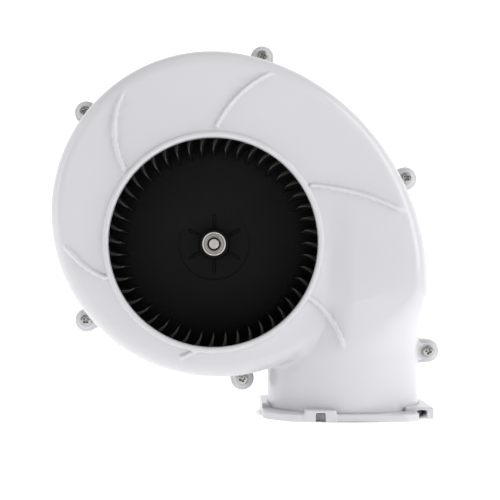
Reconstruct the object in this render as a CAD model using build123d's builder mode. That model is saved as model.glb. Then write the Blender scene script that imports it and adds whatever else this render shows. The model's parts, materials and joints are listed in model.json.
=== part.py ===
from build123d import *
import math
import os

# Flange-mount centrifugal blower: a scroll housing in two halves, a round outlet duct that
# stands on a square flange, a forward-curved wheel, and a brushed motor behind the wheel.
#
# Frame, in millimetres: the origin is the centre of the outlet duct in the plane of the
# flange's foot, +Z is up, +X is to the right and the inlet faces -Y. The two housing halves
# meet at y = 0.

os.makedirs("parts", exist_ok=True)

# ---------------------------------------------------------------- driving dimensions

# Outlet duct, for 4 inch (102 mm) flexible hose.
duct_radius = 51.0
wall = 2.6
duct_bore_radius = duct_radius - wall

# Scroll: the wheel's axis, half the width along Y, and the outline as a chain of tangent
# arcs (radius, turn in degrees), anticlockwise from the duct's right-hand side.
wheel_x = -87.6
wheel_z = 114.6
scroll_half_width = 46.0
scroll_edge_round = 9.5
scroll_start_z = wheel_z - 27.0
scroll_arcs = [(155.0, 50.0), (144.0, 28.0), (104.0, 69.0), (106.0, 70.0), (108.0, 102.0)]
duct_blend_z = (38.0, 80.0)
duct_blend_round = 10.0

# Inlet, with a raised lip and a short throat, and the swirl ribs on the scroll's face. Each
# rib is an arc given by its ends and a point between, from the wheel's axis.
inlet_radius = 67.4
lip_radius = 71.0
lip_front_y = -50.0
throat_rear_y = -41.5
swirl_rib_width = 2.2
swirl_rib_height = 1.3
swirl_ribs = [
    [(-57.6, 48.0), (-63.5, 71.8), (-56.8, 99.0)],
    [(2.6, 75.6), (16.8, 95.0), (39.8, 110.0)],
    [(63.7, 36.6), (91.5, 32.0), (125.6, 18.0)],
    [(60.6, -35.0), (75.5, -49.0), (84.0, -69.5)],
    [(-8.6, -68.4), (-15.5, -72.0), (-22.5, -75.0)],
    [(-69.6, -22.8), (-82.5, -15.5), (-96.3, -0.5)],
]

# Straight ribs on the back wall: from and to radius, and how many.
back_rib_reach = (57.0, 79.0)
back_rib_count = 8
back_rib_arc = (60.0, 210.0)

# Housing screws: where they stand (x, z), and the ears that they pass through.
screw_places = [
    (-174.4, 203.6),
    (-54.7, 241.0),
    (42.5, 158.7),
    (57.5, 41.7),
    (-68.3, 23.0),
    (-174.0, 62.5),
]
front_ear_radius = 5.7
front_ear_depth = 4.0
rear_ear_radius = 8.0
rear_ear_depth = 12.0
ear_reach = 14.0
screw_radius = 1.9
screw_length = 14.0
screw_head_radius = 4.0
screw_head_height = 2.6
screw_head_round = 1.4
cross_length = 4.4
cross_width = 0.9
cross_depth = 1.5
cross_turn = 25.0

# Flange: a hollow plate with raised, notched blocks for the hose adaptor's latches.
flange_half_width = 55.5
flange_corner_radius = 66.0
flange_thickness = 5.0
flange_skin = 2.0
skirt_wall = 2.2
block_height = 7.6
front_block_x = (-29.4, -9.0)
front_block_y = -56.5
front_block_depth = 12.0
side_block_x = 37.0
side_block_y = (-40.0, 14.0)
notch_width = 6.2
notch_top = 5.9
side_notch_x = 47.6
collar_bore_radius = 45.6
collar_radius = duct_bore_radius - 0.1
collar_height = 17.0
bead_radius = 49.3
bead_z = 12.0
bead_half_height = 1.4
bead_clearance = 0.1

# Wheel.
blade_count = 48
blade_inner_radius = 60.0
blade_arc_radius = 17.0
blade_arc_turn = 55.0
blade_thickness = 1.4
blade_front_y = -38.0
wheel_rim_radius = 75.0
plate_front_y = 30.5
plate_rear_y = 33.0
front_ring_inner_radius = 69.5
front_ring_front_y = -39.6
recess_radius = 24.6
recess_rim_width = 1.4
recess_rim_front_y = 28.8
recess_floor_y = 31.1
front_ring_lip = 5.0
front_ring_lip_thickness = 1.4
bush_radius = 8.9
bush_front_y = 17.0
bush_rear_y = 36.0
bush_chamfer = 0.8
boss_radius = 10.6
boss_front_y = 18.5
boss_foot = 2.4
hub_rib_length = 10.0
hub_rib_height = 4.5
hub_rib_thickness = 1.3
hub_rib_count = 6

# Shaft, with a flat for the hub's set screw.
shaft_radius = 4.0
shaft_front_y = 18.2
shaft_rear_y = 106.0
shaft_chamfer = 0.6
flat_distance = 3.2
flat_rear_y = 37.0
flat_direction = 35.0
set_screw_y = 27.0
set_screw_radius = 2.0
set_screw_sunk = 0.6
hex_socket_radius = 1.1
hex_socket_depth = 1.8

# Motor, behind the back wall.
motor_radius = 38.0
can_wall = 2.0
front_plate_y = (scroll_half_width, 50.0)
can_y = (50.0, 104.0)
rear_plate_y = (104.0, 108.0)
front_boss_radius = 14.0
rear_boss_radius = 13.0
magnet_y = (53.0, 84.0)
magnet_inner_radius = 30.0
magnet_arc = 136.0
core_y = (56.5, 80.5)
core_radius = 28.6
slot_count = 12
slot_centre_radius = 19.5
slot_length = 11.0
slot_width = 4.6
slot_liner = 0.2
winding_end = 5.4
commutator_y = (88.0, 98.2)
commutator_radius = 11.0
segment_gap_depth = 1.4
segment_gap_width = 0.6
riser_depth = 2.0
motor_screw_pcr = 22.0
motor_screw_radius = 2.0
motor_head_radius = 3.8
motor_head_height = 2.4
tie_screw_radius = 1.75
tie_head_radius = 3.2
tie_head_height = 2.2
tie_screw_offset = 33.0
terminal_places = [(-16.0, 24.0), (16.0, 24.0)]
terminal_width = 6.3
terminal_thickness = 0.8
terminal_y = (101.0, 112.5)

# Ball bearings, 8 x 22 x 7 mm.
bearing_outer_radius = 11.0
bearing_width = 7.0
bearing_lip = 2.4
bearing_lip_radius = 8.8
ball_count = 7
ball_radius = 1.984
ball_pitch_radius = 7.5
groove_radius = 2.03
bearing_ring_thickness = 2.3
cage_half_thickness = 0.6
cage_half_width = 2.7
cage_pocket_radius = 2.044
front_bearing_y = 41.0
rear_bearing_y = 99.4

# Brushes, which slide along Z onto the commutator, and the holders round them.
brush_half_x = 3.0
brush_y = (89.1, 97.1)
brush_end = 24.5
brush_gap = 0.05
brush_clearance = 0.1
holder_start = 13.3
holder_end = 35.4
holder_cap = 1.2
holder_wall = 1.6
spring_radius = 2.3
spring_wire_radius = 0.3
spring_turns = 6

# Motor cover, its gasket and screws, and the cable gland under it.
cover_radius = 45.5
cover_wall = 2.5
cover_rear_y = 116.0
cover_edge_round = 6.0
cover_flange_radius = 53.6
cover_flange_y = (47.0, 50.0)
cover_screw_pcr = 49.6
cover_screw_radius = 1.5
cover_head_radius = 3.0
cover_head_height = 2.2
cover_head_round = 1.2
cover_screw_tip_gap = 0.4
cover_boss_radius = 3.8
cover_boss_front_y = 37.0
vent_count = 5
vent_pitch = 9.0
vent_length = 46.0
vent_width = 3.6
gland_y = 80.0
gland_boss_radius = 11.0
gland_thread_radius = 6.0
gland_bore_radius = 3.6

# The gland's levels, as distances from the wheel's axis going down: the locknut's face, the
# cover's inside and outside, the hexagon's foot, the thread's end, the seal's end and the nut's end.
locknut_level = 38.8
gland_inner_seat = 41.8
gland_seat = 46.6
hexagon_level = 51.6
thread_level = 55.0
seal_level = 59.0
nut_level = 60.0
gland_hexagon_radius = 10.5
locknut_hexagon_radius = 9.0
seal_radius = 5.7
collet_radius = 6.6
nut_radius = 8.8
nut_bore_radius = 3.9

wheel_axis = Axis((wheel_x, 0, wheel_z), (0, 1, 0))
# Local x is the distance from the wheel's axis, and local y is the row's Y.
wheel_profile = Plane(origin=(wheel_x, 0, wheel_z), x_dir=(1, 0, 0), z_dir=(0, 0, 1))
# The parting face, seen from the inlet: local x is X, local y is Z, extrusions go towards -Y.
parting = Plane.XZ


# ---------------------------------------------------------------- shared shapes

def facing(y):
    """Plane across the wheel's axis, seen from the inlet; extrusions go towards -Y."""
    return Plane(origin=(wheel_x, y, wheel_z), x_dir=(1, 0, 0), z_dir=(0, -1, 0))


def ring(inner, outer, y_front, y_rear, mode=Mode.ADD):
    """Ring or disc about the wheel's axis, added to the part that is being built."""
    with BuildSketch(wheel_profile) as profile:
        with Locations(((inner + outer) / 2, (y_front + y_rear) / 2)):
            Rectangle(outer - inner, y_rear - y_front)
    revolve(profile.sketch, axis=wheel_axis, mode=mode)


def duct_ring(inner, outer, z_low, z_high, mode=Mode.ADD):
    """Ring or disc about the duct's axis, added to the part that is being built."""
    with BuildSketch(Plane.XZ) as profile:
        with Locations(((inner + outer) / 2, (z_low + z_high) / 2)):
            Rectangle(outer - inner, z_high - z_low)
    revolve(profile.sketch, axis=Axis.Z, mode=mode)


def polar(radius, degrees):
    """Point on a facing plane at a radius and an angle from +X towards +Z."""
    return (radius * math.cos(math.radians(degrees)), radius * math.sin(math.radians(degrees)))


def scroll_and_duct(inset, lowest_z):
    """Scroll and duct as one solid volume, set in from the outer surface by inset."""
    half_width = scroll_half_width - inset
    radius = duct_radius - inset
    edge_round = scroll_edge_round - inset
    with BuildPart() as volume:
        with BuildSketch(parting):
            with BuildLine():
                start = Vector(radius, duct_blend_z[1])
                place = Vector(radius, scroll_start_z)
                Line(start, place)
                direction = (0, 1)
                for arc_radius, turn in scroll_arcs:
                    arc = JernArc(place, direction, arc_radius - inset, turn)
                    place = arc @ 1
                    direction = arc % 1
                Line(place, start)
            make_face()
        extrude(amount=half_width, both=True)
        edges = volume.edges().group_by(Axis.Y)
        fillet(edges[0] + edges[-1], radius=edge_round)
        with BuildSketch(Plane.XY.offset(duct_blend_z[0])):
            RectangleRounded(2 * radius, 2 * radius, radius - 0.1)
        with BuildSketch(Plane.XY.offset(duct_blend_z[1])):
            RectangleRounded(2 * radius, 2 * half_width, duct_blend_round - inset)
        loft()
        duct_ring(0, radius, lowest_z, duct_blend_z[0])
    return volume.part


def ear(place, radius):
    """Ear outline on the parting plane: a round end and a web towards the duct or scroll."""
    x, z = place
    hub_x = 0 if z < duct_radius and x > -duct_radius else wheel_x
    hub_z = z if hub_x == 0 else wheel_z
    direction = math.degrees(math.atan2(hub_z - z, hub_x - x))
    with Locations((x, z)):
        Circle(radius)
        with Locations(Rotation(0, 0, direction)):
            Rectangle(ear_reach, 2 * radius, align=(Align.MIN, Align.CENTER))


def flat_plane(distance):
    """Plane square to the shaft flat's direction, at a distance from the wheel's axis."""
    x, z = polar(1, flat_direction)
    origin = (wheel_x + distance * x, set_screw_y, wheel_z + distance * z)
    return Plane(origin=origin, x_dir=(0, 1, 0), z_dir=(x, 0, z))


# ---------------------------------------------------------------- housing halves

outside = scroll_and_duct(0, flange_thickness)
cavity = scroll_and_duct(wall, flange_thickness)

with BuildPart() as housing:
    add(outside)
    with BuildSketch(parting):
        for place in screw_places:
            ear(place, front_ear_radius)
    extrude(amount=front_ear_depth)
    with BuildSketch(parting):
        for place in screw_places:
            ear(place, rear_ear_radius)
    extrude(amount=-rear_ear_depth)
    with BuildSketch(facing(-scroll_half_width + wall)):
        for first, middle, last in swirl_ribs:
            with BuildLine():
                ThreePointArc(first, middle, last)
            trace(line_width=swirl_rib_width)
    extrude(amount=wall + swirl_rib_height)
    add(cavity, mode=Mode.SUBTRACT)
    # Groove inside the duct for the flange collar's bead.
    groove_half_height = bead_half_height + bead_clearance
    duct_ring(duct_bore_radius - 1, bead_radius + bead_clearance, bead_z - groove_half_height,
              bead_z + groove_half_height, Mode.SUBTRACT)
    with BuildSketch(parting.offset(front_ear_depth)):
        with Locations(*screw_places):
            Circle(screw_radius)
    extrude(amount=-(front_ear_depth + rear_ear_depth), mode=Mode.SUBTRACT)

with BuildPart() as front_housing:
    add(housing.part)
    split(bisect_by=Plane.XZ, keep=Keep.TOP)
    ring(inlet_radius, lip_radius, lip_front_y, throat_rear_y)
    ring(0, inlet_radius, lip_front_y - 1, throat_rear_y + 1, Mode.SUBTRACT)
    lip_edges = front_housing.edges().filter_by(GeomType.CIRCLE).group_by(Axis.Y)[0]
    fillet(lip_edges, radius=(lip_radius - inlet_radius) / 2 - 0.1)
front_housing.part.label = "front_housing"

with BuildPart() as rear_housing:
    add(housing.part)
    split(bisect_by=Plane.XZ, keep=Keep.BOTTOM)
    # Bosses inside the back wall for the motor cover's screws.
    with BuildSketch(facing(scroll_half_width)):
        with PolarLocations(cover_screw_pcr, 4, start_angle=45):
            Circle(cover_boss_radius)
    extrude(amount=scroll_half_width - cover_boss_front_y)
    with BuildSketch(facing(scroll_half_width)):
        with PolarLocations(cover_screw_pcr, 4, start_angle=45):
            Circle(cover_screw_radius)
    extrude(amount=scroll_half_width - cover_boss_front_y - wall, mode=Mode.SUBTRACT)
    # Stiffening ribs on the back wall, clear of the duct.
    with BuildSketch(facing(scroll_half_width)):
        with PolarLocations((back_rib_reach[0] + back_rib_reach[1]) / 2, back_rib_count,
                            start_angle=back_rib_arc[0], angular_range=back_rib_arc[1],
                            endpoint=True):
            Rectangle(back_rib_reach[1] - back_rib_reach[0], swirl_rib_width)
    extrude(amount=-swirl_rib_height)
    # The motor's front boss comes through the back wall, with its four screws round it.
    ring(0, front_boss_radius + 0.2, throat_rear_y, scroll_half_width, Mode.SUBTRACT)
    with BuildSketch(facing(scroll_half_width)):
        with PolarLocations(motor_screw_pcr, 4, start_angle=45):
            Circle(motor_screw_radius)
    extrude(amount=wall, mode=Mode.SUBTRACT)
rear_housing.part.label = "rear_housing"

with BuildPart() as housing_screws:
    with BuildSketch(parting.offset(front_ear_depth)):
        with Locations(*screw_places):
            Circle(screw_head_radius)
    extrude(amount=screw_head_height)
    fillet(housing_screws.edges().group_by(Axis.Y)[0], radius=screw_head_round)
    with BuildSketch(parting.offset(front_ear_depth)):
        with Locations(*screw_places):
            Circle(screw_radius)
    extrude(amount=-screw_length)
    # Cross recess in each head.
    with BuildSketch(parting.offset(front_ear_depth + screw_head_height)):
        with Locations(*screw_places):
            Rectangle(cross_length, cross_width, rotation=cross_turn)
            Rectangle(cross_length, cross_width, rotation=cross_turn + 90)
    extrude(amount=-cross_depth, mode=Mode.SUBTRACT)
housing_screws.part.label = "housing_screws"


# ---------------------------------------------------------------- flange

def flange_outline():
    """Square with its corners rounded off about the duct's axis."""
    with BuildSketch() as outline:
        Rectangle(2 * flange_half_width, 2 * flange_half_width)
        Circle(flange_corner_radius, mode=Mode.INTERSECT)
    return outline.sketch


def block_outline():
    """Raised blocks: one in front and one at the side, repeated half a turn round."""
    with BuildSketch() as outline:
        with PolarLocations(0, 2):
            with Locations(((front_block_x[0] + front_block_x[1]) / 2, front_block_y)):
                Rectangle(front_block_x[1] - front_block_x[0], front_block_depth,
                          align=(Align.CENTER, Align.MIN))
            with Locations((flange_half_width, side_block_y[0])):
                Rectangle(flange_half_width - side_block_x, side_block_y[1] - side_block_y[0],
                          align=(Align.MAX, Align.MIN))
    return outline.sketch


with BuildPart() as outlet_flange:
    with BuildSketch():
        add(flange_outline())
    extrude(amount=flange_thickness)
    with BuildSketch():
        add(block_outline())
    extrude(amount=block_height)
    # The hollow underneath leaves a skirt round the edge and a sleeve round the duct.
    with BuildSketch():
        offset(flange_outline(), amount=-skirt_wall)
        Circle(duct_radius + skirt_wall, mode=Mode.SUBTRACT)
    extrude(amount=flange_thickness - flange_skin, mode=Mode.SUBTRACT)
    with BuildSketch():
        offset(block_outline(), amount=-skirt_wall)
        Circle(duct_radius + skirt_wall, mode=Mode.SUBTRACT)
    extrude(amount=block_height - flange_skin, mode=Mode.SUBTRACT)
    # Notches through the blocks' outer walls, up from the underside.
    for side, reach in ((1, -front_block_y), (-1, front_block_y)):
        for notch_x in (sum(front_block_x) / 2, side_notch_x):
            with BuildSketch(Plane.XZ):
                with Locations((side * notch_x, 0)):
                    Rectangle(notch_width, notch_top, align=(Align.CENTER, Align.MIN))
            extrude(amount=reach, mode=Mode.SUBTRACT)
    # The duct stands on the flange, round a collar whose bead locks into the duct's groove.
    duct_ring(0, duct_radius, 0, block_height, Mode.SUBTRACT)
    duct_ring(collar_radius, duct_radius + skirt_wall, 0, flange_thickness)
    duct_ring(collar_bore_radius, collar_radius, 0, collar_height)
    duct_ring(collar_radius, bead_radius, bead_z - bead_half_height, bead_z + bead_half_height)
outlet_flange.part.label = "outlet_flange"


# ---------------------------------------------------------------- wheel

with BuildPart() as wheel_back_plate:
    ring(bush_radius, recess_radius + 0.5, recess_floor_y, plate_rear_y)
    ring(recess_radius, wheel_rim_radius, plate_front_y, plate_rear_y)
    ring(recess_radius, recess_radius + recess_rim_width, recess_rim_front_y, plate_rear_y)
    ring(bush_radius, boss_radius, boss_front_y, plate_rear_y)
    with BuildSketch(wheel_profile):
        with BuildLine():
            Polyline((boss_radius - 0.5, boss_front_y + 1), (boss_radius + boss_foot, recess_floor_y),
                     (boss_radius - 0.5, recess_floor_y), close=True)
        make_face()
    revolve(axis=wheel_axis)
    # Thin ribs from the boss to the recess.
    with BuildSketch(facing(recess_floor_y)):
        with PolarLocations(boss_radius + hub_rib_length / 2, hub_rib_count, start_angle=30):
            Rectangle(hub_rib_length, hub_rib_thickness)
    extrude(amount=hub_rib_height)
wheel_back_plate.part.label = "wheel_back_plate"

with BuildSketch(Plane.XY) as blade_section:
    with BuildLine():
        JernArc((blade_inner_radius, 0), (1, 0), blade_arc_radius, -blade_arc_turn)
    trace(line_width=blade_thickness)

with BuildPart() as wheel_blades:
    with BuildSketch(facing(plate_front_y)):
        with PolarLocations(0, blade_count):
            add(blade_section.sketch)
    extrude(amount=plate_front_y - blade_front_y)
wheel_blades.part.label = "wheel_blades"

with BuildPart() as wheel_front_ring:
    ring(front_ring_inner_radius, wheel_rim_radius, front_ring_front_y, blade_front_y)
    ring(wheel_rim_radius, wheel_rim_radius + front_ring_lip_thickness, front_ring_front_y,
         blade_front_y + front_ring_lip)
wheel_front_ring.part.label = "wheel_front_ring"

with BuildPart() as hub_bush:
    ring(shaft_radius, bush_radius, bush_front_y, bush_rear_y)
    chamfer(hub_bush.edges().filter_by(GeomType.CIRCLE).group_by(Axis.Y)[0], length=bush_chamfer)
    with BuildSketch(flat_plane(0)):
        Circle(set_screw_radius)
    extrude(amount=bush_radius + 1, mode=Mode.SUBTRACT)
hub_bush.part.label = "hub_bush"

with BuildPart() as hub_set_screw:
    with BuildSketch(flat_plane(flat_distance)):
        Circle(set_screw_radius)
    extrude(amount=bush_radius - set_screw_sunk - flat_distance)
    with BuildSketch(flat_plane(bush_radius - set_screw_sunk)):
        RegularPolygon(hex_socket_radius, 6)
    extrude(amount=-hex_socket_depth, mode=Mode.SUBTRACT)
hub_set_screw.part.label = "hub_set_screw"

with BuildPart() as motor_shaft:
    ring(0, shaft_radius, shaft_front_y, shaft_rear_y)
    ends = motor_shaft.edges().filter_by(GeomType.CIRCLE).group_by(Axis.Y)
    chamfer(ends[0] + ends[-1], length=shaft_chamfer)
    with BuildSketch(flat_plane(flat_distance)):
        Rectangle(2 * (flat_rear_y - set_screw_y), 4 * shaft_radius)
    extrude(amount=shaft_radius, mode=Mode.SUBTRACT)
motor_shaft.part.label = "motor_shaft"


# ---------------------------------------------------------------- motor, fixed pieces

with BuildPart() as motor_front_plate:
    ring(0, motor_radius, *front_plate_y)
    ring(0, front_boss_radius, front_bearing_y - bearing_lip, front_plate_y[1])
    ring(0, bearing_outer_radius, front_bearing_y, front_plate_y[1], Mode.SUBTRACT)
    ring(0, bearing_lip_radius, front_bearing_y - bearing_lip, front_plate_y[1], Mode.SUBTRACT)
    with BuildSketch(facing(front_plate_y[1])):
        with PolarLocations(motor_screw_pcr, 4, start_angle=45):
            Circle(motor_screw_radius)
        with PolarLocations(tie_screw_offset, 2):
            Circle(tie_screw_radius)
    extrude(amount=front_plate_y[1] - front_plate_y[0], mode=Mode.SUBTRACT)
motor_front_plate.part.label = "motor_front_plate"

with BuildPart() as motor_can:
    ring(motor_radius - can_wall, motor_radius, *can_y)
motor_can.part.label = "motor_can"

with BuildPart() as field_magnets:
    ring(magnet_inner_radius, motor_radius - can_wall, *magnet_y)
    # The gaps between the two arcs, one each side.
    half_gap = (180 - magnet_arc) / 2
    with BuildSketch(facing(magnet_y[1])):
        for side in (1, -1):
            with BuildLine():
                Polyline((0, 0), polar(side * 2 * motor_radius, half_gap),
                         polar(side * 2 * motor_radius, -half_gap), close=True)
            make_face()
    extrude(amount=magnet_y[1] - magnet_y[0], mode=Mode.SUBTRACT)
field_magnets.part.label = "field_magnets"

with BuildPart() as motor_rear_plate:
    ring(0, motor_radius, *rear_plate_y)
    ring(0, rear_boss_radius, rear_bearing_y, rear_plate_y[0])
    ring(0, bearing_outer_radius, rear_bearing_y, rear_bearing_y + bearing_width, Mode.SUBTRACT)
    with BuildSketch(facing(rear_plate_y[1])):
        with PolarLocations(tie_screw_offset, 2):
            Circle(tie_screw_radius)
        # Slots for the terminals.
        with Locations(*terminal_places):
            Rectangle(terminal_width, terminal_thickness)
    extrude(amount=rear_plate_y[1] - rear_plate_y[0], mode=Mode.SUBTRACT)
motor_rear_plate.part.label = "motor_rear_plate"

with BuildPart() as terminal_tabs:
    with BuildSketch(facing(terminal_y[1])):
        with Locations(*terminal_places):
            Rectangle(terminal_width, terminal_thickness)
    extrude(amount=terminal_y[1] - terminal_y[0])
terminal_tabs.part.label = "terminal_tabs"

with BuildPart() as tie_screws:
    with BuildSketch(facing(rear_plate_y[1])):
        with PolarLocations(tie_screw_offset, 2):
            Circle(tie_head_radius)
    extrude(amount=-tie_head_height)
    with BuildSketch(facing(rear_plate_y[1])):
        with PolarLocations(tie_screw_offset, 2):
            Circle(tie_screw_radius)
    extrude(amount=rear_plate_y[1] - front_plate_y[0] - 0.5)
tie_screws.part.label = "tie_screws"

with BuildPart() as motor_screws:
    with BuildSketch(facing(scroll_half_width - wall)):
        with PolarLocations(motor_screw_pcr, 4, start_angle=45):
            Circle(motor_head_radius)
    extrude(amount=motor_head_height)
    with BuildSketch(facing(front_plate_y[1])):
        with PolarLocations(motor_screw_pcr, 4, start_angle=45):
            Circle(motor_screw_radius)
    extrude(amount=front_plate_y[1] - scroll_half_width + wall)
motor_screws.part.label = "motor_screws"

# Each brush holder is a tube along Z, closed at its outer end, that stands on the rear plate.
with BuildPart() as brush_holders:
    for side in (1, -1):
        with BuildSketch(Plane.XY.offset(wheel_z + side * holder_start)):
            with Locations((wheel_x, brush_y[0] - holder_wall)):
                Rectangle(2 * (brush_half_x + holder_wall), rear_plate_y[0] - brush_y[0] + holder_wall,
                          align=(Align.CENTER, Align.MIN))
        extrude(amount=side * (holder_end - holder_start))
        with BuildSketch(Plane.XY.offset(wheel_z + side * holder_start)):
            with Locations((wheel_x, sum(brush_y) / 2)):
                Rectangle(2 * (brush_half_x + brush_clearance),
                          brush_y[1] - brush_y[0] + 2 * brush_clearance)
        extrude(amount=side * (holder_end - holder_start - holder_cap), mode=Mode.SUBTRACT)
brush_holders.part.label = "brush_holders"


# ---------------------------------------------------------------- brushes and their springs

sliding_pieces = []
for name, side in (("upper", 1), ("lower", -1)):
    with BuildPart() as brush:
        with BuildSketch(Plane.XY.offset(wheel_z + side * brush_end)):
            with Locations((wheel_x, sum(brush_y) / 2)):
                Rectangle(2 * brush_half_x, brush_y[1] - brush_y[0])
        extrude(amount=-side * brush_end)
        ring(0, commutator_radius + brush_gap, *brush_y, Mode.SUBTRACT)
    brush.part.label = name + "_brush"

    with BuildPart() as spring:
        spring_length = holder_end - holder_cap - brush_end - 2 * spring_wire_radius
        spring_start = wheel_z + side * (brush_end + spring_wire_radius)
        with BuildLine() as coil:
            Helix(spring_length / spring_turns, spring_length, spring_radius,
                  center=(wheel_x, sum(brush_y) / 2, spring_start), direction=(0, 0, side))
        with BuildSketch(Plane(origin=coil.line @ 0, z_dir=coil.line % 0)):
            Circle(spring_wire_radius)
        sweep(path=coil.line, is_frenet=True)
    spring.part.label = name + "_brush_spring"
    sliding_pieces += [brush, spring]


# ---------------------------------------------------------------- armature

with BuildPart() as armature_core:
    ring(shaft_radius, core_radius, *core_y)
    with BuildSketch(facing(core_y[1])):
        with PolarLocations(slot_centre_radius, slot_count):
            Rectangle(slot_length, slot_width)
        with PolarLocations(core_radius, slot_count):
            Rectangle(slot_length, slot_width / 2)
    extrude(amount=core_y[1] - core_y[0], mode=Mode.SUBTRACT)
armature_core.part.label = "armature_core"

with BuildPart() as armature_windings:
    for face_y, end in ((core_y[0], core_y[0] - winding_end), (core_y[1], core_y[1] + winding_end)):
        ring(slot_centre_radius - slot_length / 2, slot_centre_radius + slot_length / 2 + 1,
             min(face_y, end), max(face_y, end))
    heads = armature_windings.edges().filter_by(GeomType.CIRCLE).group_by(Axis.Y)
    fillet(heads[0] + heads[-1], radius=winding_end / 2)
    with BuildSketch(facing(core_y[1])):
        with PolarLocations(slot_centre_radius, slot_count):
            Rectangle(slot_length - 2 * slot_liner, slot_width - 2 * slot_liner)
    extrude(amount=core_y[1] - core_y[0])
armature_windings.part.label = "armature_windings"

with BuildPart() as commutator:
    ring(shaft_radius, commutator_radius, *commutator_y)
    with BuildSketch(facing(commutator_y[1])):
        with PolarLocations(commutator_radius, slot_count):
            Rectangle(2 * segment_gap_depth, segment_gap_width)
    extrude(amount=commutator_y[1] - commutator_y[0] - riser_depth, mode=Mode.SUBTRACT)
commutator.part.label = "commutator"


# ---------------------------------------------------------------- ball bearings

bearing_pieces = []
for name, front_y in (("front", front_bearing_y), ("rear", rear_bearing_y)):
    middle_y = front_y + bearing_width / 2

    with BuildPart() as outer_ring:
        ring(bearing_outer_radius - bearing_ring_thickness, bearing_outer_radius, front_y,
             front_y + bearing_width)
        with BuildSketch(wheel_profile):
            with Locations((ball_pitch_radius, middle_y)):
                Circle(groove_radius)
        revolve(axis=wheel_axis, mode=Mode.SUBTRACT)
    outer_ring.part.label = name + "_bearing_outer_ring"

    with BuildPart() as inner_ring:
        ring(shaft_radius, shaft_radius + bearing_ring_thickness, front_y,
             front_y + bearing_width)
        with BuildSketch(wheel_profile):
            with Locations((ball_pitch_radius, middle_y)):
                Circle(groove_radius)
        revolve(axis=wheel_axis, mode=Mode.SUBTRACT)
    inner_ring.part.label = name + "_bearing_inner_ring"

    with BuildPart() as balls:
        with Locations(facing(middle_y)):
            with PolarLocations(ball_pitch_radius, ball_count):
                Sphere(ball_radius)
    balls.part.label = name + "_bearing_balls"

    with BuildPart() as cage:
        ring(ball_pitch_radius - cage_half_thickness, ball_pitch_radius + cage_half_thickness,
             middle_y - cage_half_width, middle_y + cage_half_width)
        with Locations(facing(middle_y)):
            with PolarLocations(ball_pitch_radius, ball_count):
                Cylinder(cage_pocket_radius, 4 * cage_half_thickness, rotation=(0, 90, 0),
                         mode=Mode.SUBTRACT)
    cage.part.label = name + "_bearing_cage"
    bearing_pieces += [outer_ring, inner_ring, balls, cage]


# ---------------------------------------------------------------- motor cover and gland

# The gland's pieces share one vertical axis; local x is the distance from it, and local y is Z.
gland_axis = Axis((wheel_x, gland_y, 0), (0, 0, 1))
gland_profile = Plane(origin=(wheel_x, gland_y, wheel_z), x_dir=(1, 0, 0), z_dir=(0, -1, 0))


def gland_ring(inner, outer, near, far, mode=Mode.ADD):
    """Ring or disc about the gland's axis, between two distances from the wheel's axis."""
    with BuildSketch(gland_profile) as profile:
        with Locations(((inner + outer) / 2, -(near + far) / 2)):
            Rectangle(outer - inner, far - near)
    revolve(profile.sketch, axis=gland_axis, mode=mode)


def gland_hexagon(radius, near, far):
    """Hexagonal bar about the gland's axis, between two distances from the wheel's axis."""
    with BuildSketch(Plane.XY.offset(wheel_z - far)) as outline:
        with Locations((wheel_x, gland_y)):
            RegularPolygon(radius, 6)
    extrude(outline.sketch, amount=far - near)


with BuildPart() as cover_hollow:
    ring(0, cover_radius - cover_wall, cover_flange_y[0], cover_rear_y - cover_wall)
    fillet(cover_hollow.edges().group_by(Axis.Y)[-1], radius=cover_edge_round - cover_wall)
    gland_ring(0, gland_boss_radius, gland_inner_seat, gland_seat, Mode.SUBTRACT)

with BuildPart() as motor_cover:
    ring(0, cover_radius, cover_flange_y[0], cover_rear_y)
    fillet(motor_cover.edges().group_by(Axis.Y)[-1], radius=cover_edge_round)
    ring(0, cover_flange_radius, *cover_flange_y)
    # Flat boss for the cable gland, under the cover.
    gland_ring(0, gland_boss_radius, gland_inner_seat, gland_seat)
    add(cover_hollow.part, mode=Mode.SUBTRACT)
    gland_ring(0, gland_thread_radius, gland_inner_seat, gland_seat, Mode.SUBTRACT)
    with BuildSketch(facing(cover_rear_y)):
        with GridLocations(0, vent_pitch, 1, vent_count):
            SlotOverall(vent_length, vent_width)
    extrude(amount=cover_wall, mode=Mode.SUBTRACT)
    with BuildSketch(facing(cover_flange_y[1])):
        with PolarLocations(cover_screw_pcr, 4, start_angle=45):
            Circle(cover_screw_radius)
    extrude(amount=cover_flange_y[1] - cover_flange_y[0], mode=Mode.SUBTRACT)
motor_cover.part.label = "motor_cover"

with BuildPart() as cover_gasket:
    ring(cover_radius - cover_wall, cover_flange_radius, scroll_half_width, cover_flange_y[0])
    with BuildSketch(facing(cover_flange_y[0])):
        with PolarLocations(cover_screw_pcr, 4, start_angle=45):
            Circle(cover_screw_radius)
    extrude(amount=cover_flange_y[0] - scroll_half_width, mode=Mode.SUBTRACT)
cover_gasket.part.label = "cover_gasket"

with BuildPart() as cover_screws:
    with BuildSketch(facing(cover_flange_y[1])):
        with PolarLocations(cover_screw_pcr, 4, start_angle=45):
            Circle(cover_head_radius)
    extrude(amount=-cover_head_height)
    fillet(cover_screws.edges().group_by(Axis.Y)[-1], radius=cover_head_round)
    with BuildSketch(facing(cover_flange_y[1])):
        with PolarLocations(cover_screw_pcr, 4, start_angle=45):
            Circle(cover_screw_radius)
    extrude(amount=cover_flange_y[1] - cover_boss_front_y - wall - cover_screw_tip_gap)
cover_screws.part.label = "cover_screws"

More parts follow.
